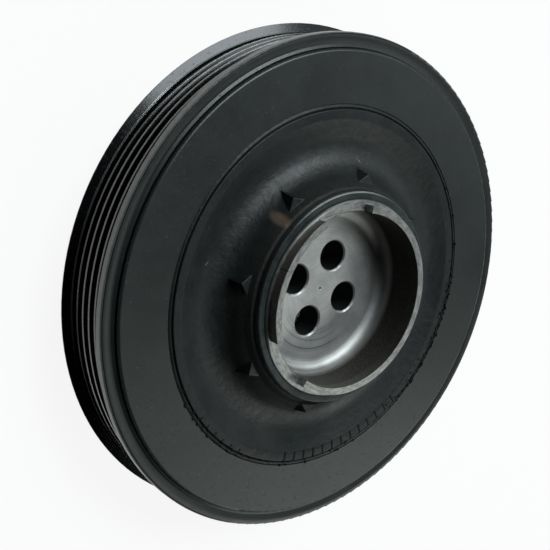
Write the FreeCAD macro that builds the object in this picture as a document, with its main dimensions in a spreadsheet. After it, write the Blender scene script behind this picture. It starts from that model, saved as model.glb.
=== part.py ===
import FreeCAD, Part
import Sketcher
import math
import os

# Decoupled crankshaft pulley with a torsional vibration damper.
# The rear face of the pulley ring lies on z = 0 and the axis is +Z, towards the front.
# The tall tab of the hub is centred on +X, and so is one of the four bolt holes.

SIZES = {
    # Pulley ring: radial sizes from the rib tips, widths from the rear face
    "rib_tip_radius": 83.3,
    "front_flange_height": 2.3,
    "rear_flange_height": 2.8,
    "rear_land_width": 0.3,
    "rear_shoulder_width": 0.3,
    "front_shoulder_width": 0.7,
    "front_land_width": 2.744,
    "rib_tip_width": 0.8,
    "rib_pitch": 3.56,
    "groove_count": 5,
    "groove_depth": 2.9,
    "groove_half_angle": 20.0,
    "groove_wall": 4.4,
    "front_edge_round": 0.8,
    "rim_width": 5.0,
    "rim_face_width": 2.1,
    "rim_groove_depth": 0.5,
    "seat_lip_slope": 0.9,
    "seat_lip_width": 0.3,
    "seat_lip_drop": 0.3,
    "seat_lip_round": 0.2,
    # Steel disc pressed into the front of the ring
    "disc_face_width": 17.6,
    "disc_thickness": 3.5,
    "disc_stand": 1.5,
    "disc_edge_round": 1.0,
    "disc_flange_wall": 2.5,
    "disc_flange_drop": 1.6,
    # Plain bearing bush between the pulley ring and the cast iron ring
    "bush_wall": 1.9,
    "bush_running_gap": 0.1,
    "bush_rear_setback": 2.0,
    "bush_flange_reach": 6.0,
    "bush_flange_thickness": 1.8,
    "bush_front_gap": 0.4,
    "bush_end_gap": 0.2,
    # Cast iron ring, and the rubber that bonds it to the hub's carrier
    "inertia_wall": 10.5,
    "inertia_chamfer": 0.6,
    "damper_rubber_wall": 3.5,
    "damper_rubber_setback": 0.5,
    "damper_rubber_dip": 0.8,
    # Hub: cup, tabs, bolt plate, web and damper carrier
    "cup_radius": 29.9,
    "cup_floor_drop": 0.9,
    "cup_floor_round": 5.0,
    "tab_wall": 2.3,
    "shoulder_width": 1.6,
    "window_floor_rise": 12.3,
    "tab_height": 3.5,
    "tall_tab_half_angle": 103.0,
    "short_tab_half_angle": 40.0,
    "punch_radius": 0.55,
    "punch_depth": 0.5,
    "bolt_circle_radius": 11.85,
    "bolt_hole_radius": 5.2,
    "bolt_hole_count": 4,
    "bolt_hole_chamfer": 0.5,
    "bolt_plate_thickness": 10.0,
    "pilot_radius": 22.5,
    "web_thickness": 6.0,
    "web_round": 2.0,
    "carrier_wall": 3.0,
    "carrier_rear": 1.4,
    "carrier_lip": 2.9,
    "carrier_front_gap": 1.4,
    # Sleeve inside the rubber coupling
    "sleeve_wall": 2.4,
    "sleeve_rise": 12.0,
    "sleeve_chamfer": 0.35,
    # Rubber coupling between the sleeve and the disc
    "sleeve_bare_height": 2.0,
    "rubber_lip_width": 1.2,
    "rubber_lip_slope": 0.4,
    "rubber_lip_round": 1.0,
    "cone_start_width": 0.9,
    "cone_start_drop": 2.3,
    "cone_lean": 30.0,
    "valley_depth": 3.65,
    "valley_round": 11.0,
    "band_width": 4.8,
    "band_raise": 0.4,
    "band_lead_width": 3.0,
    "band_lead_drop": 1.1,
    "band_edge_round": 3.0,
    "band_gap": 0.75,
    "band_gap_depth": 0.6,
    "bead_width": 1.05,
    "bead_raise": 0.3,
    "bead_edge_depth": 0.3,
    "rubber_rear_rise": 0.3,
    "rubber_rear_width": 2.0,
    "rubber_root_gap": 1.4,
    "lug_count": 8,
    "lug_reach": 3.1,
    "lug_root_width": 0.3,
    "lug_half_angle": 47.0,
    "lug_draft": 8.0,
    "lug_foot_depth": 2.0,
    "lug_turn": 9.5,
}

# Radii and heights that stack up from the sizes, each from the ones above it
STACK = {
    "groove_lean": "tan(groove_half_angle * 1 deg)",
    "groove_mouth_half": "(rib_pitch - rib_tip_width) / 2",
    "groove_floor_half": "groove_mouth_half - groove_depth * groove_lean",
    "rear_flank_height": "rear_land_width + rear_flange_height * groove_lean",
    "last_groove_height": "rear_flank_height + rear_shoulder_width + groove_mouth_half",
    "ribs_front": "last_groove_height + (groove_count - 1) * rib_pitch + groove_mouth_half",
    "front_flank_rear": "ribs_front + front_shoulder_width",
    "front_land_rear": "front_flank_rear + front_flange_height * groove_lean",
    "ring_front": "front_land_rear + front_land_width",
    "front_flange_radius": "rib_tip_radius + front_flange_height",
    "rear_flange_radius": "rib_tip_radius + rear_flange_height",
    "groove_root_radius": "rib_tip_radius - groove_depth",
    "ring_bore_radius": "groove_root_radius - groove_wall",
    "disc_radius": "front_flange_radius - rim_width",
    "seat_lip_radius": "disc_radius + seat_lip_width",
    "disc_inner_radius": "disc_radius - disc_face_width",
    "disc_collar_radius": "disc_inner_radius + disc_flange_wall",
    "disc_front": "ring_front + disc_stand",
    "disc_rear": "disc_front - disc_thickness",
    "disc_collar_rear": "disc_rear - disc_flange_drop",
    "bush_inner_radius": "ring_bore_radius - bush_wall",
    "bush_lip_radius": "bush_inner_radius - bush_flange_reach",
    "bush_front": "disc_rear - bush_front_gap",
    "bush_flange_rear": "bush_front - bush_flange_thickness",
    "inertia_outer_radius": "bush_inner_radius - bush_running_gap",
    "inertia_inner_radius": "inertia_outer_radius - inertia_wall",
    "inertia_front": "bush_flange_rear - bush_end_gap",
    "carrier_radius": "inertia_inner_radius - damper_rubber_wall",
    "carrier_bore_radius": "carrier_radius - carrier_wall",
    "carrier_front": "disc_collar_rear - carrier_front_gap",
    "web_front": "carrier_front - carrier_lip",
    "web_rear": "web_front - web_thickness",
    "cup_floor": "ring_front - cup_floor_drop",
    "bolt_seat": "cup_floor - bolt_plate_thickness",
    "tab_radius": "cup_radius + tab_wall",
    "hub_tube_radius": "tab_radius + shoulder_width",
    "window_floor": "ring_front + window_floor_rise",
    "tab_front": "window_floor + tab_height",
    "sleeve_radius": "hub_tube_radius + sleeve_wall",
    "sleeve_front": "ring_front + sleeve_rise",
    "lip_radius": "sleeve_radius + rubber_lip_width",
    "lip_root_front": "sleeve_front - sleeve_bare_height",
    "lip_front": "lip_root_front - rubber_lip_slope",
    "cone_top_radius": "lip_radius + cone_start_width",
    "cone_top": "lip_root_front - cone_start_drop",
    "valley_floor": "disc_front - valley_depth",
    "valley_radius": "cone_top_radius + (cone_top - valley_floor) * tan(cone_lean * 1 deg)",
    "bead_radius": "disc_inner_radius - bead_width",
    "band_outer_radius": "bead_radius - band_gap",
    "band_radius": "disc_inner_radius - band_width",
    "band_front": "disc_front + band_raise",
    "rubber_root": "web_front + rubber_root_gap",
    "rubber_rear": "disc_collar_rear - rubber_rear_rise",
    "rubber_rear_radius": "valley_radius + rubber_rear_width",
    "lug_tip_radius": "cone_top_radius + lug_reach",
    "lug_root_radius": "cone_top_radius - lug_root_width",
    "lug_rear": "disc_front - lug_foot_depth",
    "lug_half_width": "(lug_tip_radius - lug_root_radius) * tan(lug_half_angle * 1 deg)",
}

# How near an edge lies to its stated radius and height
EDGE_TOLERANCE = 0.01

doc = FreeCAD.newDocument("crankshaft_pulley")
sheet = doc.addObject("Spreadsheet::Sheet", "Sizes")
for row, (alias, value) in enumerate(SIZES.items(), 1):
    sheet.set("A%d" % row, alias)
    sheet.set("B%d" % row, str(value))
    sheet.setAlias("B%d" % row, alias)
for row, (alias, formula) in enumerate(STACK.items(), len(SIZES) + 1):
    sheet.set("A%d" % row, alias)
    sheet.set("B%d" % row, "=" + formula)
    sheet.setAlias("B%d" % row, alias)
doc.recompute()
size = sheet.get


def cells(expression):
    """Names in braces are cells of the sheet, written here without its name."""
    return expression.replace("{", "Sizes.").replace("}", "")


def origin_plane(body, role):
    for feature in body.Origin.OriginFeatures:
        if feature.Role == role:
            return feature


def new_body(label):
    body = doc.addObject("PartDesign::Body", label)
    body.Label = label
    return body


def new_sketch(body, name, role, lift="0"):
    """A sketch on an origin plane of its body, lifted off it by an expression."""
    sketch = body.newObject("Sketcher::SketchObject", name)
    sketch.AttachmentSupport = [(origin_plane(body, role), "")]
    sketch.MapMode = "FlatFace"
    if lift != "0":
        sketch.setExpression(".AttachmentOffset.Base.z", cells(lift))
    return sketch


def hold_point(sketch, edge, end, start, across, up):
    """Tie one sketch point to the sketch's axes by two expressions."""
    held = (("DistanceX", -2, start.x, across), ("DistanceY", -1, start.y, up))
    for kind, axis, value, expression in held:
        if expression == "0":
            sketch.addConstraint(Sketcher.Constraint("PointOnObject", edge, end, axis))
        else:
            index = sketch.addConstraint(Sketcher.Constraint(kind, -1, 1, edge, end, value))
            sketch.setExpression("Constraints[%d]" % index, cells(expression))


def closed_outline(sketch, corners):
    """Straight edges round a list of corners, each a pair of expressions."""
    count = len(corners)
    starts = []
    for number in range(count):
        turn = 2 * math.pi * (number + 0.5) / count
        starts.append(FreeCAD.Vector(count * (2 + math.cos(turn)), count * (2 + math.sin(turn)), 0))
    for number in range(count):
        sketch.addGeometry(Part.LineSegment(starts[number], starts[(number + 1) % count]), False)
    for number in range(count):
        following = (number + 1) % count
        sketch.addConstraint(Sketcher.Constraint("Coincident", number, 2, following, 1))
    for number, (across, up) in enumerate(corners):
        hold_point(sketch, number, 1, starts[number], across, up)


def revolved_body(label, corners):
    """A body turned about +Z from an outline in the XZ plane, radius across and height up."""
    body = new_body(label)
    sketch = new_sketch(body, label + "_section", "XZ_Plane")
    closed_outline(sketch, corners)
    turned = body.newObject("PartDesign::Revolution", label + "_turned")
    turned.Profile = sketch
    turned.ReferenceAxis = (sketch, ["V_Axis"])
    turned.Angle = 360
    doc.recompute()
    return body


def rings_at(feature, radius_name, height_name):
    """Names of the circular edges that have one radius and one height of the sheet."""
    names = []
    for number, edge in enumerate(feature.Shape.Edges, 1):
        curve = edge.Curve
        if not isinstance(curve, Part.Circle):
            continue
        radius_off = abs(curve.Radius - size(radius_name))
        height_off = abs(curve.Center.z - size(height_name))
        if max(radius_off, height_off) < EDGE_TOLERANCE:
            names.append("Edge%d" % number)
    return names


def round_edges(body, name, names, radius):
    base = body.Tip
    rounded = body.newObject("PartDesign::Fillet", name)
    rounded.Base = (base, names)
    rounded.setExpression("Radius", cells(radius))
    doc.recompute()
    return rounded


def bevel_edges(body, name, names, width):
    base = body.Tip
    bevelled = body.newObject("PartDesign::Chamfer", name)
    bevelled.Base = (base, names)
    bevelled.setExpression("Size", cells(width))
    doc.recompute()
    return bevelled


def repeat_about_axis(body, name, feature, count):
    """Copies of a feature, evenly spaced about the body's Z axis."""
    pattern = body.newObject("PartDesign::PolarPattern", name)
    pattern.Originals = [feature]
    pattern.Axis = (origin_plane(body, "Z_Axis"), [""])
    pattern.Angle = 360
    pattern.setExpression("Occurrences", cells(count))
    body.Tip = pattern
    doc.recompute()
    return pattern


def pulley_ring():
    """Belt ring: V grooves between two flanges, and a lip round the seat of the disc."""
    corners = [
        ("{ring_bore_radius}", "0"),
        ("{rear_flange_radius}", "0"),
        ("{rear_flange_radius}", "{rear_land_width}"),
        ("{rib_tip_radius}", "{rear_flank_height}"),
    ]
    for number in range(int(size("groove_count"))):
        centre = "{last_groove_height} + %d * {rib_pitch}" % number
        corners += [
            ("{rib_tip_radius}", centre + " - {groove_mouth_half}"),
            ("{groove_root_radius}", centre + " - {groove_floor_half}"),
            ("{groove_root_radius}", centre + " + {groove_floor_half}"),
            ("{rib_tip_radius}", centre + " + {groove_mouth_half}"),
        ]
    corners += [
        ("{rib_tip_radius}", "{front_flank_rear}"),
        ("{front_flange_radius}", "{front_land_rear}"),
        ("{front_flange_radius}", "{ring_front}"),
        ("{front_flange_radius} - {rim_face_width}", "{ring_front}"),
        ("{seat_lip_radius} + {seat_lip_slope}", "{ring_front} - {rim_groove_depth}"),
        ("{seat_lip_radius}", "{ring_front}"),
        ("{disc_radius}", "{ring_front} - {seat_lip_drop}"),
        ("{disc_radius}", "{disc_rear}"),
        ("{ring_bore_radius}", "{disc_rear}"),
    ]
    body = revolved_body("pulley_ring", corners)
    crest = rings_at(body.Tip, "seat_lip_radius", "ring_front")
    round_edges(body, "seat_lip_edge", crest, "{seat_lip_round}")
    rim = rings_at(body.Tip, "front_flange_radius", "ring_front")
    round_edges(body, "front_edge", rim, "{front_edge_round}")
    return body


def front_disc():
    """Steel disc over the damper, with a short collar inside for the rubber."""
    body = revolved_body("front_disc", [
        ("{disc_inner_radius}", "{disc_collar_rear}"),
        ("{disc_collar_radius}", "{disc_collar_rear}"),
        ("{disc_collar_radius}", "{disc_rear}"),
        ("{disc_radius}", "{disc_rear}"),
        ("{disc_radius}", "{disc_front}"),
        ("{disc_inner_radius}", "{disc_front}"),
    ])
    rim = rings_at(body.Tip, "disc_radius", "disc_front")
    round_edges(body, "disc_rim_round", rim, "{disc_edge_round}")
    return body


def hub_forging():
    """Turned outline of the hub, with a cup in front and the damper carrier behind."""
    return revolved_body("hub", [
        ("0", "{cup_floor} - {punch_depth}"),
        ("{punch_radius}", "{cup_floor}"),
        ("{cup_radius}", "{cup_floor}"),
        ("{cup_radius}", "{tab_front}"),
        ("{tab_radius}", "{tab_front}"),
        ("{tab_radius}", "{window_floor}"),
        ("{hub_tube_radius}", "{window_floor}"),
        ("{hub_tube_radius}", "{web_front}"),
        ("{carrier_bore_radius}", "{web_front}"),
        ("{carrier_bore_radius}", "{carrier_front}"),
        ("{carrier_radius}", "{carrier_front}"),
        ("{carrier_radius}", "{carrier_rear}"),
        ("{carrier_bore_radius}", "{carrier_rear}"),
        ("{carrier_bore_radius}", "{web_rear}"),
        ("{pilot_radius}", "{web_rear}"),
        ("{pilot_radius}", "{bolt_seat}"),
        ("0", "{bolt_seat}"),
    ])


def cut_windows(body):
    """Openings in the cup wall between the two tabs, one on each side of the XZ plane."""
    sketch = new_sketch(body, "window_outline", "XY_Plane", "{window_floor}")
    tall = "({tall_tab_half_angle} * 1 deg)"
    short = "((180 - {short_tab_half_angle}) * 1 deg)"
    half = "((180 - {short_tab_half_angle} - {tall_tab_half_angle}) / 2 * 1 deg)"
    near = "({cup_radius} - {tab_wall})"
    far = "({hub_tube_radius} + {tab_wall}) / cos" + half
    closed_outline(sketch, [
        ("%s * cos%s" % (near, tall), "%s * sin%s" % (near, tall)),
        ("%s * cos%s" % (far, tall), "%s * sin%s" % (far, tall)),
        ("%s * cos%s" % (far, short), "%s * sin%s" % (far, short)),
        ("%s * cos%s" % (near, short), "%s * sin%s" % (near, short)),
    ])
    window = body.newObject("PartDesign::Pocket", "window")
    window.Profile = sketch
    window.Reversed = True
    window.setExpression("Length", cells("2 * ({tab_front} - {window_floor})"))
    doc.recompute()
    mirrored = body.newObject("PartDesign::Mirrored", "windows")
    mirrored.Originals = [window]
    mirrored.MirrorPlane = (origin_plane(body, "XZ_Plane"), [""])
    body.Tip = mirrored
    doc.recompute()


def bore_bolt_holes(body):
    """Bevelled holes through the bolt plate, on one circle round the axis."""
    sketch = new_sketch(body, "bolt_hole_outline", "XY_Plane", "{cup_floor}")
    centre = FreeCAD.Vector(size("bolt_circle_radius"), 0, 0)
    hole = Part.Circle(centre, FreeCAD.Vector(0, 0, 1), size("bolt_hole_radius"))
    sketch.addGeometry(hole, False)
    hold_point(sketch, 0, 3, centre, "{bolt_circle_radius}", "0")
    index = sketch.addConstraint(Sketcher.Constraint("Radius", 0, size("bolt_hole_radius")))
    sketch.setExpression("Constraints[%d]" % index, cells("{bolt_hole_radius}"))
    bolt_hole = body.newObject("PartDesign::Pocket", "bolt_hole")
    bolt_hole.Profile = sketch
    bolt_hole.setExpression("Length", cells("{cup_floor} - {web_rear}"))
    doc.recompute()
    holes = repeat_about_axis(body, "bolt_holes", bolt_hole, "{bolt_hole_count}")
    mouths = rings_at(holes, "bolt_hole_radius", "cup_floor")
    bevel_edges(body, "bolt_hole_bevels", mouths, "{bolt_hole_chamfer}")


def hub():
    """Hub turned from one forging, its corners rounded where a turning tool leaves them so."""
    body = hub_forging()
    cut_windows(body)
    bore_bolt_holes(body)
    corner = rings_at(body.Tip, "cup_radius", "cup_floor")
    round_edges(body, "cup_floor_corner", corner, "{cup_floor_round}")
    corners = rings_at(body.Tip, "carrier_bore_radius", "web_rear")
    corners += rings_at(body.Tip, "carrier_bore_radius", "web_front")
    round_edges(body, "web_corners", corners, "{web_round}")
    return body


def coupling_sleeve():
    """Steel sleeve pressed on the hub, the inner member of the rubber coupling."""
    return revolved_body("coupling_sleeve", [
        ("{hub_tube_radius}", "{web_front}"),
        ("{sleeve_radius}", "{web_front}"),
        ("{sleeve_radius}", "{sleeve_front} - {sleeve_chamfer}"),
        ("{sleeve_radius} - {sleeve_chamfer}", "{sleeve_front}"),
        ("{hub_tube_radius}", "{sleeve_front}"),
    ])


def raise_lugs(body):
    """Triangular lugs round the cone: tops level with its upper edge, sides drafted."""
    sketch = new_sketch(body, "lug_outline", "XY_Plane", "{cone_top}")
    turn = "({lug_turn} * 1 deg)"
    turned = "(%s) * cos" + turn + " - (%s) * sin" + turn
    lifted = "(%s) * sin" + turn + " + (%s) * cos" + turn
    outline = []
    for along, across in (("{lug_root_radius}", "-{lug_half_width}"),
                          ("{lug_tip_radius}", "0 * 1"),
                          ("{lug_root_radius}", "{lug_half_width}")):
        outline.append((turned % (along, across), lifted % (along, across)))
    closed_outline(sketch, outline)
    lug = body.newObject("PartDesign::Pad", "lug")
    lug.Profile = sketch
    lug.Reversed = True
    lug.setExpression("Length", cells("{cone_top} - {lug_rear}"))
    lug.setExpression("TaperAngle", cells("{lug_draft} * 1 deg"))
    doc.recompute()
    repeat_about_axis(body, "lugs", lug, "{lug_count}")


def coupling_rubber():
    """Rubber between sleeve and disc: a cone round the sleeve, a valley, a band and a bead."""
    body = revolved_body("coupling_rubber", [
        ("{sleeve_radius}", "{rubber_root}"),
        ("{sleeve_radius}", "{lip_root_front}"),
        ("{lip_radius}", "{lip_front}"),
        ("{cone_top_radius}", "{cone_top}"),
        ("{valley_radius}", "{valley_floor}"),
        ("{band_radius} - {band_lead_width}", "{band_front} - {band_lead_drop}"),
        ("{band_radius}", "{band_front}"),
        ("{band_outer_radius}", "{band_front}"),
        ("{band_outer_radius} + {band_gap} / 2", "{disc_front} - {band_gap_depth}"),
        ("{bead_radius}", "{disc_front} + {bead_raise}"),
        ("{disc_inner_radius}", "{disc_front} - {bead_edge_depth}"),
        ("{disc_inner_radius}", "{disc_collar_rear}"),
        ("{rubber_rear_radius}", "{rubber_rear}"),
    ])
    lip = rings_at(body.Tip, "lip_radius", "lip_front")
    round_edges(body, "lip_edge", lip, "{rubber_lip_round}")
    valley = rings_at(body.Tip, "valley_radius", "valley_floor")
    round_edges(body, "valley_blend", valley, "{valley_round}")
    band = rings_at(body.Tip, "band_radius", "band_front")
    round_edges(body, "band_edge", band, "{band_edge_round}")
    raise_lugs(body)
    return body


def inertia_ring():
    """Cast iron ring of the damper, bevelled at its four corners."""
    return revolved_body("inertia_ring", [
        ("{inertia_inner_radius} + {inertia_chamfer}", "{carrier_rear}"),
        ("{inertia_outer_radius} - {inertia_chamfer}", "{carrier_rear}"),
        ("{inertia_outer_radius}", "{carrier_rear} + {inertia_chamfer}"),
        ("{inertia_outer_radius}", "{inertia_front} - {inertia_chamfer}"),
        ("{inertia_outer_radius} - {inertia_chamfer}", "{inertia_front}"),
        ("{inertia_inner_radius} + {inertia_chamfer}", "{inertia_front}"),
        ("{inertia_inner_radius}", "{inertia_front} - {inertia_chamfer}"),
        ("{inertia_inner_radius}", "{carrier_rear} + {inertia_chamfer}"),
    ])


def damper_rubber():
    """Rubber bonded between the carrier and the cast iron ring, dished at both ends."""
    middle = "{carrier_radius} + {damper_rubber_wall} / 2"
    rear = "{carrier_rear} + {inertia_chamfer} + {damper_rubber_setback}"
    front = "{carrier_front} - {damper_rubber_setback}"
    return revolved_body("damper_rubber", [
        ("{carrier_radius}", rear),
        (middle, rear + " + {damper_rubber_dip}"),
        ("{inertia_inner_radius}", rear),
        ("{inertia_inner_radius}", front),
        (middle, front + " - {damper_rubber_dip}"),
        ("{carrier_radius}", front),
    ])


def bearing_bush():
    """Flanged plain bearing bush, seated in the pulley ring and free on the cast iron ring."""
    return revolved_body("bearing_bush", [
        ("{bush_inner_radius}", "{bush_rear_setback}"),
        ("{ring_bore_radius}", "{bush_rear_setback}"),
        ("{ring_bore_radius}", "{bush_front}"),
        ("{bush_lip_radius}", "{bush_front}"),
        ("{bush_lip_radius}", "{bush_flange_rear}"),
        ("{bush_inner_radius}", "{bush_flange_rear}"),
    ])


bodies = [
    pulley_ring(),
    front_disc(),
    hub(),
    coupling_sleeve(),
    coupling_rubber(),
    inertia_ring(),
    damper_rubber(),
    bearing_bush(),
]
doc.recompute()

faults = []
for item in doc.Objects:
    if "Invalid" in item.State or "Error" in item.State:
        faults.append("%s: %s" % (item.Name, item.State))
for body in bodies:
    if body.Shape.isNull() or not body.Shape.isValid() or len(body.Shape.Solids) != 1:
        faults.append(body.Label + ": no single valid solid")
if faults:
    raise RuntimeError("; ".join(faults))

os.makedirs("parts", exist_ok=True)
for body in bodies:
    body.Shape.exportStep(os.path.join("parts", body.Label + ".step"))
    print(body.Label, round(body.Shape.Volume / 1000, 2), "cm3")
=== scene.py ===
import math
import random

import bmesh
import bpy
from mathutils import Euler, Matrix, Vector

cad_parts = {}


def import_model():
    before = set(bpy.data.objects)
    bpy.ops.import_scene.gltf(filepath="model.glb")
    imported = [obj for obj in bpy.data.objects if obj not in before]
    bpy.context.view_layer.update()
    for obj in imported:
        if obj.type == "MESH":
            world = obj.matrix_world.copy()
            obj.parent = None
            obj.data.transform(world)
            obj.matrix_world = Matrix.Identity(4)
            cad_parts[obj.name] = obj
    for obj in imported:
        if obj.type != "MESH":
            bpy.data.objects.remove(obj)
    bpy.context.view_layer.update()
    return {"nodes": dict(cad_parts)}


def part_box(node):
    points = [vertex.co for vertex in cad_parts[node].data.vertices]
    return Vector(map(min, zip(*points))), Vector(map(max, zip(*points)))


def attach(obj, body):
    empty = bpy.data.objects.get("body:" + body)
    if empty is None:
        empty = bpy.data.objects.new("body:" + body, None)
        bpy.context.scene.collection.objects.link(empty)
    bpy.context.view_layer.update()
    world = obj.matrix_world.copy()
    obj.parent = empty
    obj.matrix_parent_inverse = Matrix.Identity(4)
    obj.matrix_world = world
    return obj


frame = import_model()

MM = 0.001

# Heights and radii on the object in millimetres, read from the frame
RING_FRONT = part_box("pulley_ring")[1].z / MM
SLEEVE_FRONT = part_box("coupling_sleeve")[1].z / MM
SLEEVE_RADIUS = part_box("coupling_sleeve")[1].x / MM
TAB_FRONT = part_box("hub")[1].z / MM
DISC_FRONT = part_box("front_disc")[1].z / MM

# Sizes of the CAD model that no box gives, in millimetres
RIB_TIP_RADIUS = 83.3
FIRST_RIB_HEIGHT = 2.5
REAR_SHOULDER = (1.32, 1.62)
REAR_FLANGE_HEIGHT = 2.0
FRONT_FLANGE_RADIUS = 85.6
FRONT_LAND_WIDTH = 2.744
CUP_RADIUS = 29.9
CUP_FLOOR = 22.0
TAB_RADIUS = 32.2
TAB_HEIGHT = 3.5
LIP_RADIUS = 38.3
VALLEY_RADII = (50.0, 55.0)
PUNCH_RADIUS = 0.3
BAND_RISE = 0.4
BAND_GAP_RADIUS = 61.58
DISC_GAP_RADIUS = 62.8
LAND_REAR = RING_FRONT - FRONT_LAND_WIDTH
WINDOW_FLOOR = TAB_FRONT - TAB_HEIGHT

# Azimuth on the object of the left end of the picture's horizontal
PICTURE_LEFT = -157.5

# Strokes on the band, by their angle in the picture, with inner radius and rise
STRONG_STROKES = [(78.1 + 4.2 * number, 58.0, 0.16) for number in range(13)]
FAINT_STROKES = [(36.8 + 4.2 * number, 59.9, 0.1) for number in range(6)]
STROKE_OUTER_RADIUS = 61.3
STROKE_HALF_WIDTH = 0.36
STROKE_SINK = 0.15
STROKE_DRAFT = 0.1

# Crumbs of flash: every third lies in a gap, the others beside the band's edge
CRUMB_COUNT = 210
GAP_CRUMB_STEP = 3
GAP_CRUMB_ARC = (20, 200)
GAP_CRUMB_DRIFT = (-0.2, 0.3)
EDGE_CRUMB_ARC = (112, 212, 145)
EDGE_CRUMB_RADII = (59.4, 62.9)
CRUMB_HALF_LENGTHS = (0.2, 0.9)
CRUMB_HALF_WIDTHS = (0.12, 0.5)
CRUMB_TOPS = (-0.05, 0.25)
CRUMB_WAISTS = (0.75, 0.95)
CRUMB_RAGGEDNESS = (0.75, 1.15)
CRUMB_FOOT = -0.8
CRUMB_CROWN = 0.45
CRUMB_WAIST_DROP = 0.2
CRUMB_CORNERS = 8
CRUMB_SEED = 11

# Marks: azimuth on the object in degrees, and radius in millimetres
# Where a small warm painted reflection sits on the rubber
GLINT_PLACE = (155.3, 38.6)
DUSTY_PLACE = (95, 45)
DULL_PLACE = (-75.5, 46)
SCRATCH_PLACE = (185.5, 50.5)
SLEEVE_SCRIBE_PLACE = (155.5, SLEEVE_RADIUS - 0.6)
RIM_SCRIBE_PLACE = (176.5, TAB_RADIUS)

# Arcs of the object, in turns of its azimuth
# Start of the side where the land is rubbed and the front edge carries painted shade
RUBBED_AND_SHADED_FROM = (0.2, 0.28)
SHOULDER_RUBBED_FROM = (0.39, 0.44)
# Arc of the sleeve's painted edge highlight, on the side facing the key lamp
SLEEVE_HIGHLIGHT_ARC = (0.26, 0.40)
CUP_RINGS_ARC = (-0.34, -0.12)
# Arc of the rim's painted highlight line, on the side facing the key lamp
RIM_HIGHLIGHT_ARC = (0.36, 0.45)
# Start of the side where the dark shoulder is widened by painted shade
RIM_JOINT_SHADE_FROM = (0.36, 0.39)

# Colours in linear light; a pair is the darker and the lighter end of a mottling
RING_COAT = (0.0115, 0.0145, 0.0136)
DISC_COAT = (0.0110, 0.0140, 0.0131)
# Dark glossy coat of the track, also used as painted shade on the ring's front edge
GLOSSY_COAT_AND_EDGE_SHADE = (0.006, 0.007, 0.0075)
PIT_BLACK = (0.004, 0.004, 0.004)
SPECK_GREY = (0.12, 0.12, 0.115)
RUBBED_COAT = (0.40, 0.42, 0.39)
COUPLING_RUBBER = (0.0085, 0.0108, 0.0102)
# Painted light: paler rubber for the lip, whose top otherwise renders black
LIP_PAINTED_LIGHT = (0.026, 0.028, 0.025)
DAMPER_RUBBER = (0.022, 0.022, 0.022)
# Painted shade: a darker copy of the rubber for the strokes and flash crumbs
RUBBER_PAINTED_SHADE = (0.004, 0.004, 0.004)
RUBBER_DUST = (0.30, 0.30, 0.29)
# Painted reflection: a warm glint painted on the coupling rubber
PAINTED_WARM_GLINT = (0.17, 0.115, 0.082)
SLEEVE_TONES = ((0.014, 0.018, 0.018), (0.032, 0.038, 0.038))
SLEEVE_CRYSTALS = (0.11, 0.118, 0.115)
# Painted highlight for the sleeve's front edge
SLEEVE_PAINTED_HIGHLIGHT = (0.4, 0.4, 0.39)
SLEEVE_WALL = (0.055, 0.059, 0.054)
SLEEVE_SCRIBE = (0.01, 0.01, 0.01)
CUP_TONES = ((0.45, 0.453, 0.445), (0.62, 0.623, 0.61))
CUP_RINGS = (0.24, 0.24, 0.23)
CUP_DARK_RINGS = (0.07, 0.068, 0.062)
# Painted shade for the cup floor towards its wall
CUP_CORNER_SHADE = (0.2, 0.195, 0.18)
RIM_TONES = ((0.25, 0.254, 0.245), (0.46, 0.464, 0.45))
# Painted highlight for a line on the hub's rim
RIM_PAINTED_HIGHLIGHT = (0.85, 0.85, 0.83)
WALL_TONES = ((0.030, 0.028, 0.022), (0.062, 0.057, 0.046))
# Painted light: lighter, warm tones for the tabs' outer walls, which otherwise render near-black
OUTER_WALL_PAINTED_LIGHT = ((0.10, 0.094, 0.078), (0.16, 0.15, 0.125))
# Dark tone of the hub's outer shoulder, also used as painted shade
JOINT_DARK_AND_SHADE = (0.024, 0.030, 0.030)
# Painted shade for the bolt holes and centre punch, and the black of the scribed line
HOLE_SHADE_AND_SCRIBE_BLACK = (0.008, 0.008, 0.008)
IRON_TONES = ((0.1, 0.1, 0.1), (0.17, 0.17, 0.165))
IRON_PORES = (0.03, 0.03, 0.03)
BUSH_TONES = ((0.46, 0.41, 0.3), (0.56, 0.51, 0.39))
FLOOR_TONES = ((0.80, 0.80, 0.80), (0.82, 0.82, 0.82))
CARD_TONES = ((0.02, 0.02, 0.02), (0.03, 0.03, 0.03))
BLACK = (0.0, 0.0, 0.0)
WORLD_TINT = (0.97, 0.98, 1.0, 1)

# Ranges of a noise that a mottling runs through
CLOUD_RANGE = (0.3, 0.7)
GRAIN_RANGE = (0.35, 0.65)

# Camera of the photograph: where it stands, how it is turned, and its lens
CAMERA_PLACE = (-0.27380, 0.00827, 0.30014)
CAMERA_TURN_DEGREES = (-19.462, -38.295, 27.573)
CAMERA_LENS = 75.4
CAMERA_SENSOR = 36
CAMERA_SHIFT = 0.5 / 550
CAMERA_CLIP = (0.01, 100)

# Studio: azimuth and elevation in degrees, distance and size in metres, power in watts
KEY_LAMP = dict(azimuth=83.5, elevation=54, distance=1.6, size=0.86, power=25)
FILL_LAMP = dict(azimuth=-30, elevation=28, distance=1.8, size=1.3, power=11)
SIDE_LAMP = dict(azimuth=36, elevation=30, distance=1.8, size=1.3, power=4.5)
COOL_TINT = (0.88, 0.96, 1.0)
GREEN_TINT = (0.94, 1.0, 0.96)
WORLD_LEVEL = 0.35
FLOOR_LIFT = 0.9
FLOOR_REACH = 20
CARD_AZIMUTH, CARD_ELEVATION = 180, 45
CARD_DISTANCE, CARD_HALF_ANGLE = 2.5, 130
CARD_ROWS, CARD_COLUMNS = 16, 48

# Radii of the floor under the object, in millimetres, between which its lift begins
SHADED_FLOOR = (70, 75)

# Broken edges: smallest angle between faces in degrees, and gap that counts as one point
EDGE_ANGLE = 28
WELD_GAP = 0.0005


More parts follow.
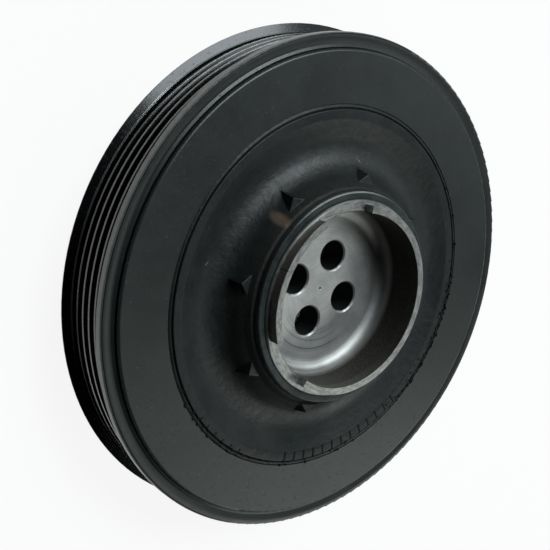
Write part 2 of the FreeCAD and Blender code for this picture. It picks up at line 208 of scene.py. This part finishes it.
def camera():
    data = bpy.data.cameras.new("photo_camera")
    data.lens = CAMERA_LENS
    data.sensor_width = CAMERA_SENSOR
    data.shift_x = -CAMERA_SHIFT
    data.shift_y = CAMERA_SHIFT
    data.clip_start, data.clip_end = CAMERA_CLIP
    rig = bpy.data.objects.new("photo_camera", data)
    rig.location = CAMERA_PLACE
    rig.rotation_euler = Euler([math.radians(turn) for turn in CAMERA_TURN_DEGREES], "XYZ")
    bpy.context.scene.collection.objects.link(rig)
    bpy.context.scene.camera = rig


def on_sphere(azimuth, elevation, distance):
    flat = math.cos(math.radians(elevation)) * distance
    return Vector((
        flat * math.cos(math.radians(azimuth)),
        flat * math.sin(math.radians(azimuth)),
        math.sin(math.radians(elevation)) * distance,
    ))


def polar_point(radius, degrees, height):
    turn = math.radians(degrees)
    return Vector((radius * math.cos(turn), radius * math.sin(turn), height))


def softbox(name, tint, azimuth, elevation, distance, size, power):
    """A square area lamp that faces the object."""
    data = bpy.data.lights.new(name, "AREA")
    data.shape = "SQUARE"
    data.size = size
    data.energy = power
    data.color = tint
    lamp = bpy.data.objects.new(name, data)
    lamp.location = on_sphere(azimuth, elevation, distance)
    lamp.rotation_euler = (-lamp.location).to_track_quat("-Z", "Y").to_euler()
    bpy.context.scene.collection.objects.link(lamp)


class Shader:
    """One material under construction: short calls that each add a node."""

    def __init__(self, name):
        self.material = bpy.data.materials.new(name)
        self.material.use_nodes = True
        self.tree = self.material.node_tree
        self.surface = self.tree.nodes["Principled BSDF"]

    def node(self, kind, **settings):
        made = self.tree.nodes.new(kind)
        for key, value in settings.items():
            setattr(made, key, value)
        return made

    def feed(self, socket, value):
        """Link a node's output to a socket, or set the socket to a plain value."""
        if isinstance(value, bpy.types.NodeSocket):
            self.tree.links.new(value, socket)
        else:
            socket.default_value = value

    def math(self, operation, first, second=0.0, third=0.0, clamp=False):
        made = self.node("ShaderNodeMath", operation=operation, use_clamp=clamp)
        for socket, value in zip(made.inputs, (first, second, third)):
            self.feed(socket, value)
        return made.outputs[0]

    def both(self, first, *others):
        """The product of masks: one only where each of them is one."""
        for other in others:
            first = self.math("MULTIPLY", first, other)
        return first

    def either(self, first, *others):
        """The largest of masks."""
        for other in others:
            first = self.math("MAXIMUM", first, other)
        return first

    def change(self, mask, amount, value, clamp=False):
        """A value with an amount added where the mask is one."""
        return self.math("MULTIPLY_ADD", mask, amount, value, clamp=clamp)

    def place(self):
        """Place on the object in millimetres."""
        where = self.node("ShaderNodeTexCoord").outputs["Object"]
        scaled = self.node("ShaderNodeVectorMath", operation="SCALE")
        self.feed(scaled.inputs[0], where)
        scaled.inputs["Scale"].default_value = 1 / MM
        return scaled.outputs[0]

    def turned_place(self):
        """Distance from the axis and height in millimetres, and azimuth in turns."""
        split = self.node("ShaderNodeSeparateXYZ")
        self.feed(split.inputs[0], self.place())
        across, along, height = split.outputs
        radius = self.length(across, along)
        azimuth = self.math("DIVIDE", self.math("ARCTAN2", along, across), 2 * math.pi)
        return radius, height, azimuth

    def length(self, first, second):
        squares = self.math("ADD", self.math("MULTIPLY", first, first),
                            self.math("MULTIPLY", second, second))
        return self.math("SQRT", squares)

    def vector(self, x, y, z):
        made = self.node("ShaderNodeCombineXYZ")
        for socket, value in zip(made.inputs, (x, y, z)):
            self.feed(socket, value)
        return made.outputs[0]

    def noise(self, where, scale, detail, rough):
        made = self.node("ShaderNodeTexNoise")
        self.feed(made.inputs["Vector"], where)
        made.inputs["Scale"].default_value = scale
        made.inputs["Detail"].default_value = detail
        made.inputs["Roughness"].default_value = rough
        return made.outputs["Fac"]

    def step(self, value, low, high, start=0.0, end=1.0):
        """A smooth change from start to end while value goes from low to high."""
        made = self.node("ShaderNodeMapRange", interpolation_type="SMOOTHSTEP")
        for name, number in (("Value", value), ("From Min", low), ("From Max", high),
                             ("To Min", start), ("To Max", end)):
            self.feed(made.inputs[name], number)
        return made.outputs[0]

    def below(self, value, low, high):
        """One under low and zero over high."""
        return self.step(value, low, high, 1.0, 0.0)

    def band(self, value, low, high, soft):
        """One between low and high, and zero outside."""
        return self.both(self.step(value, low - soft, low + soft),
                         self.below(value, high - soft, high + soft))

    def along_and_across(self, where, place, turn):
        """Distances from a point of the front view, in axes turned from its own radius."""
        azimuth, radius = place
        split = self.node("ShaderNodeSeparateXYZ")
        self.feed(split.inputs[0], where)
        centre = polar_point(radius, azimuth, 0)
        off_x = self.math("SUBTRACT", split.outputs[0], centre.x)
        off_y = self.math("SUBTRACT", split.outputs[1], centre.y)
        lean = math.radians(azimuth + turn)
        cosine, sine = math.cos(lean), math.sin(lean)
        along = self.math("ADD", self.math("MULTIPLY", off_x, cosine),
                          self.math("MULTIPLY", off_y, sine))
        across = self.math("SUBTRACT", self.math("MULTIPLY", off_y, cosine),
                           self.math("MULTIPLY", off_x, sine))
        return along, across

    def stroke(self, where, place, turn, length, width):
        """A short straight mark, turned in degrees from the radius through its middle."""
        along, across = self.along_and_across(where, place, turn)
        soft = width / 4
        return self.both(self.band(along, -length / 2, length / 2, soft),
                         self.band(across, -width / 2, width / 2, soft))

    def spot(self, where, place, reach):
        """A round patch that fades out."""
        return self.below(self.length(*self.along_and_across(where, place, 0)), reach / 3, reach)

    def mix(self, share, first, second):
        made = self.node("ShaderNodeMix", data_type="RGBA")
        self.feed(made.inputs["Factor"], share)
        for socket, value in ((made.inputs[6], first), (made.inputs[7], second)):
            self.feed(socket, value if isinstance(value, bpy.types.NodeSocket) else (*value, 1))
        return made.outputs[2]

    def mottle(self, noise, tones, bounds=CLOUD_RANGE):
        """The two tones, mixed by a noise that runs between the bounds."""
        return self.mix(self.step(noise, *bounds), *tones)

    def bump(self, height, depth, onto=None):
        """Relief whose full height is depth, in millimetres."""
        made = self.node("ShaderNodeBump")
        made.inputs["Strength"].default_value = 1.0
        made.inputs["Distance"].default_value = depth * MM
        self.feed(made.inputs["Height"], height)
        if onto is not None:
            self.feed(made.inputs["Normal"], onto)
        return made.outputs[0]

    def finish(self, colour, rough, metal=0.0, normal=None, specular=0.5):
        for name, value in (("Base Color", colour), ("Roughness", rough), ("Metallic", metal),
                            ("Specular IOR Level", specular)):
            self.feed(self.surface.inputs[name], value)
        if normal is not None:
            self.feed(self.surface.inputs["Normal"], normal)
        return self.material


def shade(tone, share):
    return [part * share for part in tone]


def turning_marks(shader, radius, height, pitch):
    """Fine rings left by a turning tool, as noise that only changes along the profile."""
    profile = shader.vector(radius, 0.0, height)
    return shader.noise(profile, 1 / pitch, 3.0, 0.7)


def black_coat(name, tone, rough):
    """Satin black coating over turned steel, with faint rings, specks, pits and clouds."""
    shader = Shader(name)
    radius, height, azimuth = shader.turned_place()
    where = shader.place()
    cloud = shader.noise(where, 0.06, 5.0, 0.6)
    grain = shader.noise(where, 2.2, 3.0, 0.6)
    specks = shader.noise(where, 1.1, 2.0, 0.5)
    pits = shader.step(shader.noise(where, 0.75, 4.0, 0.7), 0.41, 0.36)
    rings = turning_marks(shader, radius, height, 0.55)
    colour = shader.mottle(cloud, (shade(tone, 0.86), shade(tone, 1.14)))
    colour = shader.mix(shader.step(grain, 0.62, 0.8, 0.0, 0.35), colour, shade(tone, 2.2))
    colour = shader.mix(shader.step(specks, 0.68, 0.76, 0.0, 0.5), colour, SPECK_GREY)
    colour = shader.mix(shader.both(pits, 0.7), colour, PIT_BLACK)
    gloss = shader.change(cloud, 0.16, rough - 0.13)
    gloss = shader.change(pits, 0.15, gloss)
    gloss = shader.change(rings, 0.1, gloss)
    relief = shader.bump(rings, 0.004)
    relief = shader.bump(grain, 0.012, onto=relief)
    return shader, (radius, height, azimuth), colour, gloss, relief


def ring_material():
    """Belt ring: satin on its face, glossier in the track, rubbed on its tips and edges, with painted
    shade darkening its front edge on the side facing the camera.
    """
    shader, place, colour, gloss, relief = black_coat("ring_black_coat", RING_COAT, 0.35)
    radius, height, azimuth = place
    turned_away = shader.math("ABSOLUTE", azimuth)
    # One on the side facing the camera: the land is rubbed there, and the front edge gets painted
    # shade
    rubbed_and_shaded_side = shader.step(turned_away, *RUBBED_AND_SHADED_FROM)
    track = shader.below(height, LAND_REAR - 0.1, LAND_REAR)
    grooves = shader.both(shader.below(radius, RIB_TIP_RADIUS - 0.25, RIB_TIP_RADIUS - 0.1), track)
    rear_flange = shader.below(height, REAR_FLANGE_HEIGHT - 0.1, REAR_FLANGE_HEIGHT + 0.1)
    # Painted shade: the front edge, on the side facing the camera, is painted dark and given less
    # shine
    edge = shader.both(shader.step(radius, FRONT_FLANGE_RADIUS - 0.8, FRONT_FLANGE_RADIUS - 0.6),
                       shader.step(height, RING_FRONT - 0.6, RING_FRONT - 0.3), rubbed_and_shaded_side)
    tips = shader.both(shader.band(radius, RIB_TIP_RADIUS - 0.12, RIB_TIP_RADIUS + 0.1, 0.04),
                       shader.band(height, FIRST_RIB_HEIGHT, LAND_REAR - 0.9, 0.1))
    land = shader.both(shader.step(radius, FRONT_FLANGE_RADIUS - 0.45, FRONT_FLANGE_RADIUS - 0.3),
                       shader.step(height, LAND_REAR - 0.1, LAND_REAR), rubbed_and_shaded_side)
    shoulder = shader.both(shader.band(radius, RIB_TIP_RADIUS - 0.2, RIB_TIP_RADIUS + 0.25, 0.05),
                           shader.band(height, REAR_SHOULDER[0] - 0.1, REAR_SHOULDER[1] + 0.1, 0.03),
                           shader.step(turned_away, *SHOULDER_RUBBED_FROM))
    colour = shader.mix(track, colour, GLOSSY_COAT_AND_EDGE_SHADE)
    # Painted shade on the front edge, in the dark track coat
    colour = shader.mix(edge, colour, GLOSSY_COAT_AND_EDGE_SHADE)
    gloss = shader.change(track, -0.18, gloss)
    shine = shader.change(grooves, -0.36, 0.5)
    shine = shader.change(edge, -0.45, shine)
    shine = shader.change(rear_flange, -0.16, shine, clamp=True)
    scuff = shader.noise(shader.place(), 0.35, 4.0, 0.65)
    wear = shader.either(shader.both(tips, 0.27), shader.both(land, 0.28),
                         shader.both(shoulder, 0.5))
    wear = shader.both(wear, shader.step(scuff, 0.3, 0.6, 0.75, 1.0))
    colour = shader.mix(wear, colour, RUBBED_COAT)
    return shader.finish(colour, gloss, shader.both(wear, 0.8), relief, shine)


def disc_material():
    shader, _, colour, gloss, relief = black_coat("disc_black_coat", DISC_COAT, 0.37)
    return shader.finish(colour, gloss, 0.0, relief)


def rubber_base(name, tone, rough):
    """Moulded rubber: soft mottling, wrinkles, dust specks and a fine matt skin."""
    shader = Shader(name)
    where = shader.place()
    cloud = shader.noise(where, 0.09, 5.0, 0.6)
    skin = shader.noise(where, 3.0, 3.0, 0.6)
    ripple = shader.noise(where, 0.42, 4.0, 0.6)
    blotch = shader.noise(where, 0.3, 6.0, 0.7)
    specks = shader.noise(where, 1.6, 2.0, 0.5)
    colour = shader.mottle(cloud, (shade(tone, 0.75), shade(tone, 1.25)))
    colour = shader.mix(shader.step(specks, 0.70, 0.78, 0.0, 0.5), colour, SPECK_GREY)
    colour = shader.mix(shader.step(blotch, 0.5, 0.66, 0.0, 0.12), colour, shade(tone, 1.9))
    gloss = shader.change(cloud, 0.2, rough - 0.1)
    gloss = shader.math("ADD", gloss, shader.step(blotch, 0.36, 0.62, 0.05, -0.03))
    relief = shader.bump(ripple, 0.2)
    relief = shader.bump(skin, 0.01, onto=relief)
    return shader, where, colour, gloss, relief


def coupling_rubber_material():
    """Rubber of the coupling: lip painted paler as painted light, light scuffs, one short scratch and
    a small warm painted reflection.
    """
    shader, where, colour, gloss, relief = rubber_base(
        "coupling_rubber_skin", COUPLING_RUBBER, 0.46)
    radius, _, _ = shader.turned_place()
    dust = shader.noise(where, 0.8, 3.0, 0.6)
    dusty = shader.both(shader.spot(where, DUSTY_PLACE, 4.5), shader.step(dust, 0.58, 0.68, 0.0, 0.45))
    scratch = shader.stroke(where, SCRATCH_PLACE, 60, 1.6, 0.16)
    # Painted reflection: a small warm glint, painted as colour
    painted_glint = shader.spot(where, GLINT_PLACE, 2.8)
    lip = shader.below(radius, LIP_RADIUS, LIP_RADIUS + 0.5)
    colour = shader.mix(shader.either(dusty, shader.both(scratch, 0.6)), colour, RUBBER_DUST)
    # Painted light: the lip is painted paler so its top looks lit instead of black
    colour = shader.mix(shader.both(lip, shader.step(dust, 0.3, 0.7, 0.4, 1.0)), colour, LIP_PAINTED_LIGHT)
    # Painted reflection of something warm, mixed into the rubber's colour
    colour = shader.mix(shader.both(painted_glint, 0.6), colour, PAINTED_WARM_GLINT)
    shine = shader.step(radius, *VALLEY_RADII, 0.36, 0.27)
    shine = shader.change(shader.spot(where, DULL_PLACE, 18), -0.16, shine)
    shine = shader.change(lip, -0.28, shine, clamp=True)
    return shader.finish(colour, gloss, 0.0, relief, shine)


def plain_rubber_material(name, tone, rough, shine):
    shader, _, colour, gloss, relief = rubber_base(name, tone, rough)
    return shader.finish(colour, gloss, 0.0, relief, shine)


def sleeve_material():
    """Phosphated sleeve: dark grey, a painted highlight on its front edge along one arc, one scribed
    line on its end.
    """
    shader = Shader("sleeve_phosphate")
    radius, height, azimuth = shader.turned_place()
    where = shader.place()
    cloud = shader.noise(where, 0.25, 5.0, 0.6)
    grain = shader.noise(where, 2.0, 3.0, 0.6)
    rings = turning_marks(shader, radius, height, 0.35)
    corner = SLEEVE_RADIUS + SLEEVE_FRONT - 0.5
    # Painted highlight: the front edge is painted lighter only on the arc that faces the key lamp
    edge = shader.both(shader.step(shader.math("ADD", radius, height), corner - 0.05, corner + 0.05),
                       shader.band(azimuth, *SLEEVE_HIGHLIGHT_ARC, 0.04))
    wall = shader.both(shader.step(radius, SLEEVE_RADIUS - 0.2, SLEEVE_RADIUS - 0.1),
                       shader.below(height, SLEEVE_FRONT - 0.6, SLEEVE_FRONT - 0.4))
    scribed = shader.stroke(where, SLEEVE_SCRIBE_PLACE, 0, 1.5, 0.3)
    colour = shader.mottle(cloud, SLEEVE_TONES)
    colour = shader.mix(shader.step(grain, 0.52, 0.7, 0.0, 0.4), colour, SLEEVE_CRYSTALS)
    # Painted highlight on the front edge
    colour = shader.mix(shader.both(edge, 0.5), colour, SLEEVE_PAINTED_HIGHLIGHT)
    colour = shader.mix(wall, colour, SLEEVE_WALL)
    colour = shader.mix(shader.both(scribed, 0.9), colour, SLEEVE_SCRIBE)
    gloss = shader.change(rings, 0.15, 0.4)
    relief = shader.bump(rings, 0.006)
    relief = shader.bump(grain, 0.03, onto=relief)
    return shader.finish(colour, gloss, 0.3, relief, 0.35)


def hub_material():
    """Turned hub: satin cup floor with tool rings, dark brown inner walls, bright speckled rim;
    painted light on the tabs' outer walls, a painted highlight line on the rim, and painted shade in
    the cup's corner, on the widened outer shoulder, in the bolt holes and in the centre punch.
    """
    shader = Shader("hub_turned_steel")
    radius, height, azimuth = shader.turned_place()
    where = shader.place()
    cloud = shader.noise(where, 0.12, 5.0, 0.6)
    grain = shader.noise(where, 1.4, 4.0, 0.6)
    unrolled = shader.vector(radius, shader.math("MULTIPLY", azimuth, 70.0), height)
    streaks = shader.noise(unrolled, 1.1, 5.0, 0.65)
    rings = turning_marks(shader, radius, height, 0.3)
    coarse_rings = turning_marks(shader, radius, height, 0.9)

    dark_rings = shader.both(shader.step(coarse_rings, 0.46, 0.6),
                             shader.band(azimuth, *CUP_RINGS_ARC, 0.06),
                             shader.step(radius, 9.0, 20.0), 0.6)
    # Painted shade: the cup floor's outer part and fillet are painted darker, standing in for shade in
    # the corner
    corner_shade = shader.both(shader.step(radius, CUP_RADIUS - 6.0, CUP_RADIUS - 3.0), 0.45)
    top = shader.step(height, WINDOW_FLOOR - 0.12, WINDOW_FLOOR - 0.02)
    inside = shader.both(shader.step(radius, CUP_RADIUS - 2.5, CUP_RADIUS - 0.4),
                         shader.below(radius, CUP_RADIUS + 0.05, CUP_RADIUS + 0.2),
                         shader.step(height, CUP_FLOOR + 2.0, CUP_FLOOR + 5.0),
                         shader.below(height, TAB_FRONT - 0.3, TAB_FRONT - 0.1))
    # Outer walls of the tabs, which get painted light
    outside = shader.both(shader.band(radius, TAB_RADIUS - 0.08, TAB_RADIUS + 0.08, 0.03),
                          shader.band(height, WINDOW_FLOOR + 0.2, TAB_FRONT - 0.25, 0.06))
    # Painted highlight: a bright line on the rim's outer band, only on the arc facing the key lamp
    line = shader.both(shader.band(radius, TAB_RADIUS + 0.15, TAB_RADIUS + 0.65, 0.08),
                       shader.band(azimuth, *RIM_HIGHLIGHT_ARC, 0.02), 0.7)
    # The hub's outer shoulder is dark all round; on the side facing the camera the dark band is
    # widened inwards as painted shade
    near_side = shader.step(shader.math("ABSOLUTE", azimuth), *RIM_JOINT_SHADE_FROM)
    joint_and_shade = shader.both(shader.step(shader.change(near_side, 0.4, radius),
                                    TAB_RADIUS + 1.1, TAB_RADIUS + 1.5),
                        shader.step(height, CUP_FLOOR, CUP_FLOOR + 1.0))
    # Painted shade: the bolt holes' walls and the centre punch are painted black; the scribed line is
    # a real dark mark
    holes = shader.below(height, CUP_FLOOR - 0.62, CUP_FLOOR - 0.5)
    punch = shader.below(radius, PUNCH_RADIUS, PUNCH_RADIUS + 0.25)
    scribed = shader.stroke(where, RIM_SCRIBE_PLACE, 0, 1.0, 0.35)
    black = shader.either(holes, punch, shader.both(scribed, 0.9))
    dark = shader.either(black, inside, outside, joint_and_shade)
    corner = shader.step(radius, CUP_RADIUS - 5.5, CUP_RADIUS - 3.0)

    colour = shader.mottle(cloud, CUP_TONES)
    colour = shader.mix(shader.step(rings, 0.45, 0.7, 0.0, 0.35), colour, CUP_RINGS)
    colour = shader.mix(dark_rings, colour, CUP_DARK_RINGS)
    # Painted shade in the cup's corner
    colour = shader.mix(corner_shade, colour, CUP_CORNER_SHADE)
    colour = shader.mix(top, colour, shader.mottle(streaks, RIM_TONES, GRAIN_RANGE))
    colour = shader.mix(inside, colour, shader.mottle(grain, WALL_TONES, GRAIN_RANGE))
    # Painted light on the tabs' outer walls
    colour = shader.mix(outside, colour, shader.mottle(grain, OUTER_WALL_PAINTED_LIGHT, GRAIN_RANGE))
    # Painted highlight line on the rim
    colour = shader.mix(line, colour, RIM_PAINTED_HIGHLIGHT)
    # Dark shoulder, partly its own tone and partly painted shade
    colour = shader.mix(joint_and_shade, colour, JOINT_DARK_AND_SHADE)
    # Painted shade in the holes and punch, and the scribed line's own black
    colour = shader.mix(black, colour, HOLE_SHADE_AND_SCRIBE_BLACK)
    gloss = shader.change(corner, 0.08, 0.36)
    gloss = shader.change(rings, 0.18, gloss)
    gloss = shader.change(top, -0.13, gloss)
    gloss = shader.change(dark, 0.16, gloss)
    metal = shader.change(dark, -0.5, 0.95)
    metal = shader.change(black, -0.4, metal, clamp=True)
    relief = shader.bump(rings, 0.006)
    relief = shader.bump(grain, 0.004, onto=relief)
    return shader.finish(colour, gloss, metal, relief)


def iron_material():
    """Machined cast iron under a thin dark coat."""
    shader = Shader("iron_machined")
    radius, height, _ = shader.turned_place()
    where = shader.place()
    cloud = shader.noise(where, 0.15, 5.0, 0.6)
    pores = shader.noise(where, 2.4, 4.0, 0.7)
    rings = turning_marks(shader, radius, height, 0.4)
    colour = shader.mottle(cloud, IRON_TONES)
    colour = shader.mix(shader.step(pores, 0.62, 0.72, 0.0, 0.7), colour, IRON_PORES)
    gloss = shader.change(rings, 0.2, 0.4)
    relief = shader.bump(rings, 0.01)
    relief = shader.bump(pores, 0.02, onto=relief)
    return shader.finish(colour, gloss, 0.6, relief)


def bush_material():
    """Plain tan polymer, slightly glossy where it was moulded."""
    shader = Shader("bush_polymer_plain")
    where = shader.place()
    cloud = shader.noise(where, 0.2, 4.0, 0.5)
    grain = shader.noise(where, 2.0, 3.0, 0.6)
    colour = shader.mottle(cloud, BUSH_TONES)
    gloss = shader.change(grain, 0.2, 0.4)
    return shader.finish(colour, gloss, 0.0, shader.bump(grain, 0.01))


def soften(node, width, segments=2):
    """Break the sharp edges of a CAD node as tools and moulds leave them."""
    part = frame["nodes"][node]
    weld = part.modifiers.new("weld", "WELD")
    weld.merge_threshold = WELD_GAP * MM
    bevel = part.modifiers.new("broken_edges", "BEVEL")
    bevel.width = width * MM
    bevel.segments = segments
    bevel.limit_method = "ANGLE"
    bevel.angle_limit = math.radians(EDGE_ANGLE)
    bevel.use_clamp_overlap = True
    normals = part.modifiers.new("face_normals", "WEIGHTED_NORMAL")
    normals.weight = 100


def dress(node, material):
    for slot in frame["nodes"][node].material_slots:
        slot.material = material


def stage_piece(name, points, faces, material, seen=True):
    """A mesh in metres that belongs to the studio, not to the object."""
    mesh = bpy.data.meshes.new(name)
    mesh.from_pydata(points, [], faces)
    piece = bpy.data.objects.new(name, mesh)
    piece.data.materials.append(material)
    piece.visible_camera = seen
    bpy.context.scene.collection.objects.link(piece)


def floor():
    """Plain pale floor, lifted to white for camera, mirror and glass rays."""
    shader = Shader("studio_floor")
    cloud = shader.noise(shader.place(), 0.01, 2.0, 0.5)
    paths = shader.node("ShaderNodeLightPath").outputs
    seen = shader.math("ADD", paths["Is Camera Ray"], paths["Is Glossy Ray"])
    seen = shader.math("ADD", seen, paths["Is Transmission Ray"], clamp=True)
    radius, _, _ = shader.turned_place()
    lift = shader.both(seen, shader.step(radius, *SHADED_FLOOR), FLOOR_LIFT)
    shader.surface.inputs["Emission Color"].default_value = (1, 1, 1, 1)
    shader.feed(shader.surface.inputs["Emission Strength"], lift)
    colour = shader.mix(lift, shader.mix(cloud, *FLOOR_TONES), BLACK)
    reach = FLOOR_REACH
    corners = [(-reach, -reach, 0), (reach, -reach, 0), (reach, reach, 0), (-reach, reach, 0)]
    stage_piece("studio_floor", corners, [(0, 1, 2, 3)], shader.finish(colour, 0.9, specular=0.0))


def world():
    """Even grey light, seen as white by camera, mirror and glass rays."""
    sky = bpy.data.worlds.new("studio_world")
    sky.use_nodes = True
    tree = sky.node_tree
    paths = tree.nodes.new("ShaderNodeLightPath").outputs
    seen = paths["Is Camera Ray"]
    for path in ("Is Glossy Ray", "Is Transmission Ray"):
        either = tree.nodes.new("ShaderNodeMath")
        either.operation = "MAXIMUM"
        tree.links.new(seen, either.inputs[0])
        tree.links.new(paths[path], either.inputs[1])
        seen = either.outputs[0]
    level = tree.nodes.new("ShaderNodeMapRange")
    level.inputs["To Min"].default_value = WORLD_LEVEL
    level.inputs["To Max"].default_value = 1.0
    tree.links.new(seen, level.inputs["Value"])
    background = tree.nodes["Background"]
    background.inputs["Color"].default_value = WORLD_TINT
    tree.links.new(level.outputs[0], background.inputs["Strength"])
    bpy.context.scene.world = sky


def dark_card():
    """Dark bowl behind and above the camera, which keeps reflections of black parts dark."""
    middle = on_sphere(CARD_AZIMUTH, CARD_ELEVATION, 1)
    side = middle.orthogonal().normalized()
    up = middle.cross(side)
    points = [middle * CARD_DISTANCE]
    for row in range(1, CARD_ROWS + 1):
        lean = math.radians(CARD_HALF_ANGLE) * row / CARD_ROWS
        for column in range(CARD_COLUMNS):
            turn = 2 * math.pi * column / CARD_COLUMNS
            spread = side * math.cos(turn) + up * math.sin(turn)
            point = (middle * math.cos(lean) + spread * math.sin(lean)) * CARD_DISTANCE
            point.z = max(point.z, 0.0)
            points.append(point)
    faces = [(0, 1 + column, 1 + (column + 1) % CARD_COLUMNS) for column in range(CARD_COLUMNS)]
    for row in range(CARD_ROWS - 1):
        near = 1 + row * CARD_COLUMNS
        far = near + CARD_COLUMNS
        for column in range(CARD_COLUMNS):
            following = (column + 1) % CARD_COLUMNS
            faces.append((near + column, far + column, far + following, near + following))
    shader = Shader("dark_card")
    cloud = shader.noise(shader.place(), 0.01, 2.0, 0.5)
    material = shader.finish(shader.mix(cloud, *CARD_TONES), 0.9, specular=0.0)
    stage_piece("dark_card", points, faces, material, seen=False)


def add_piece(name, shape, material):
    """A mesh in millimetres, placed on the object as one more fixed piece."""
    mesh = bpy.data.meshes.new(name)
    bmesh.ops.scale(shape, vec=(MM, MM, MM), verts=shape.verts)
    bmesh.ops.recalc_face_normals(shape, faces=shape.faces)
    shape.to_mesh(mesh)
    shape.free()
    piece = bpy.data.objects.new(name, mesh)
    piece.data.materials.append(material)
    bpy.context.scene.collection.objects.link(piece)
    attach(piece, "root")


def join_rings(shape, lower, upper):
    """Side faces between two rings of as many points."""
    count = len(lower)
    for corner in range(count):
        following = (corner + 1) % count
        shape.faces.new((lower[corner], lower[following], upper[following], upper[corner]))


def band_strokes(material):
    """Plain radial strokes moulded on the flat band of the rubber, in a darker copy of the rubber as
    painted shade.
    """
    shape = bmesh.new()
    band = DISC_FRONT + BAND_RISE
    for phi, inner, rise in STRONG_STROKES + FAINT_STROKES:
        rings = []
        for height, shrink in ((band - STROKE_SINK, 0.0), (band + rise, STROKE_DRAFT)):
            ring = []
            for radius, side in ((inner + shrink, -1), (STROKE_OUTER_RADIUS - shrink, -1),
                                 (STROKE_OUTER_RADIUS - shrink, 1), (inner + shrink, 1)):
                half_turn = math.degrees((STROKE_HALF_WIDTH - shrink) / radius)
                azimuth = phi + PICTURE_LEFT + side * half_turn
                ring.append(shape.verts.new(polar_point(radius, azimuth, height)))
            shape.faces.new(ring)
            rings.append(ring)
        join_rings(shape, *rings)
    add_piece("band_strokes", shape, material)


def rubber_flash(material):
    """Ragged crumbs of moulding flash in the gaps beside the bead and on the band's edge, in a darker
    copy of the rubber as painted shade.
    """
    shape = bmesh.new()
    draw = random.Random(CRUMB_SEED)
    for number in range(CRUMB_COUNT):
        if number % GAP_CRUMB_STEP == 0:
            azimuth = draw.uniform(*GAP_CRUMB_ARC) + PICTURE_LEFT
            radius = draw.choice((BAND_GAP_RADIUS, DISC_GAP_RADIUS)) + draw.uniform(*GAP_CRUMB_DRIFT)
        else:
            azimuth = draw.triangular(*EDGE_CRUMB_ARC) + PICTURE_LEFT
            radius = draw.uniform(*EDGE_CRUMB_RADII)
        half_length = draw.uniform(*CRUMB_HALF_LENGTHS)
        half_width = draw.uniform(*CRUMB_HALF_WIDTHS)
        top = BAND_RISE + draw.uniform(*CRUMB_TOPS)
        waist = draw.uniform(*CRUMB_WAISTS)
        rings = []
        for height, share in ((CRUMB_FOOT, 1.0), (top - CRUMB_WAIST_DROP, waist), (top, CRUMB_CROWN)):
            ring = []
            for corner in range(CRUMB_CORNERS):
                turn = 2 * math.pi * corner / CRUMB_CORNERS
                ragged = share * draw.uniform(*CRUMB_RAGGEDNESS)
                offset = math.degrees(half_length * math.cos(turn) * ragged / radius)
                away = radius + half_width * math.sin(turn) * ragged
                point = polar_point(away, azimuth + offset, DISC_FRONT + height)
                ring.append(shape.verts.new(point))
            rings.append(ring)
        shape.faces.new(rings[0])
        shape.faces.new(rings[-1])
        for lower, upper in zip(rings, rings[1:]):
            join_rings(shape, lower, upper)
    add_piece("rubber_flash", shape, material)


camera()
softbox("key", COOL_TINT, **KEY_LAMP)
softbox("fill", GREEN_TINT, **FILL_LAMP)
softbox("side", COOL_TINT, **SIDE_LAMP)
world()
floor()
dark_card()

dress("pulley_ring", ring_material())
dress("front_disc", disc_material())
dress("coupling_rubber", coupling_rubber_material())
dress("coupling_sleeve", sleeve_material())
dress("hub", hub_material())
dress("inertia_ring", iron_material())
dress("damper_rubber", plain_rubber_material("damper_rubber_skin", DAMPER_RUBBER, 0.6, 0.5))
dress("bearing_bush", bush_material())

soften("pulley_ring", 0.12)
soften("front_disc", 0.12)
soften("hub", 0.22)
soften("coupling_sleeve", 0.1)
soften("coupling_rubber", 0.3, segments=3)

# A darker copy of the rubber: painted shade for the strokes and flash crumbs
shade_painted_rubber = plain_rubber_material("shade_painted_rubber_skin", RUBBER_PAINTED_SHADE, 0.7, 0.2)
band_strokes(shade_painted_rubber)
rubber_flash(shade_painted_rubber)

scene = bpy.context.scene
scene.view_settings.view_transform = "Standard"
